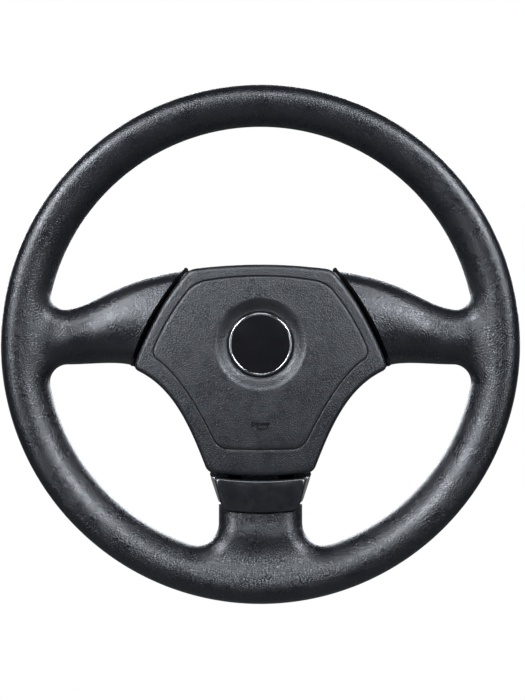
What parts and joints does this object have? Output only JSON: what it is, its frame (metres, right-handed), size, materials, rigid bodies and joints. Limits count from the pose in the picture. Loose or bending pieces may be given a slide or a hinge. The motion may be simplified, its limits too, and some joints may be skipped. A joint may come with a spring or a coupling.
{
  "type": "car steering wheel",
  "caption": "Three-spoke car steering wheel with a soft grained grip, a sprung airbag pad that works the horn, and a splined hub.",
  "frame": {"origin": "on the axis of the hub's bore, level with the back of the casting's web", "axes": "wheel upright: +X to the driver's right, +Z to twelve o'clock, -Y towards the driver, +Y along the column towards the car's front"},
  "size_m": [0.3848, 0.1011, 0.385],
  "materials": {
    "grip": "satin grained",
    "pad": "grained",
    "black_plastic": "fine grained",
    "satin_plastic": "satin",
    "gloss_black": "high gloss",
    "bright_ring": "satin chrome",
    "casting": "die cast",
    "steel": "machined, zinc plated",
    "zinc_steel": "yellow zinc plated sheet",
    "can_steel": "drawn",
    "brass": "turned brass",
    "pale_plastic": "moulded",
    "cushion_cloth": "woven nylon",
    "cable_film": "film"
  },
  "bodies": {
    "wheel": {"grip": "grip", "rim_ring": "steel", "armature": "casting", "hub_bush": "steel", "spoke_inserts": "black_plastic", "lower_trim": "satin_plastic", "rear_cover": "black_plastic", "rear_cover_screws": "steel", "contact_plate": "zinc_steel", "contact_insulators": "pale_plastic", "airbag_screws": "steel", "horn_springs": "steel", "cassette_rotor": "pale_plastic", "cassette_screws": "steel", "cassette_ribbon": "cable_film"},
    "airbag_module": {"pad_cover": "pad", "badge_bezel": "bright_ring", "badge_disc": "gloss_black", "cover_screws": "steel", "module_plate": "zinc_steel", "guide_bolts": "steel", "contact_studs": "brass", "inflator": "can_steel", "inflator_nuts": "steel", "retaining_ring": "zinc_steel", "airbag_cushion": "cushion_cloth"},
    "contact_ring": {"cassette_housing": "black_plastic"}
  },
  "joints": [
    {"name": "horn_press", "type": "slide", "parent": "wheel", "child": "airbag_module", "axis": [0, 1, 0], "range_m": [0, 0.002], "stiffness_N_per_m": 9000, "springref_m": -0.002, "deforming": ["horn_springs"]},
    {"name": "cassette_turn", "type": "hinge", "parent": "wheel", "child": "contact_ring", "pos_m": [0, 0, 0], "axis": [0, 1, 0], "range_deg": [-900, 900]}
  ]
}
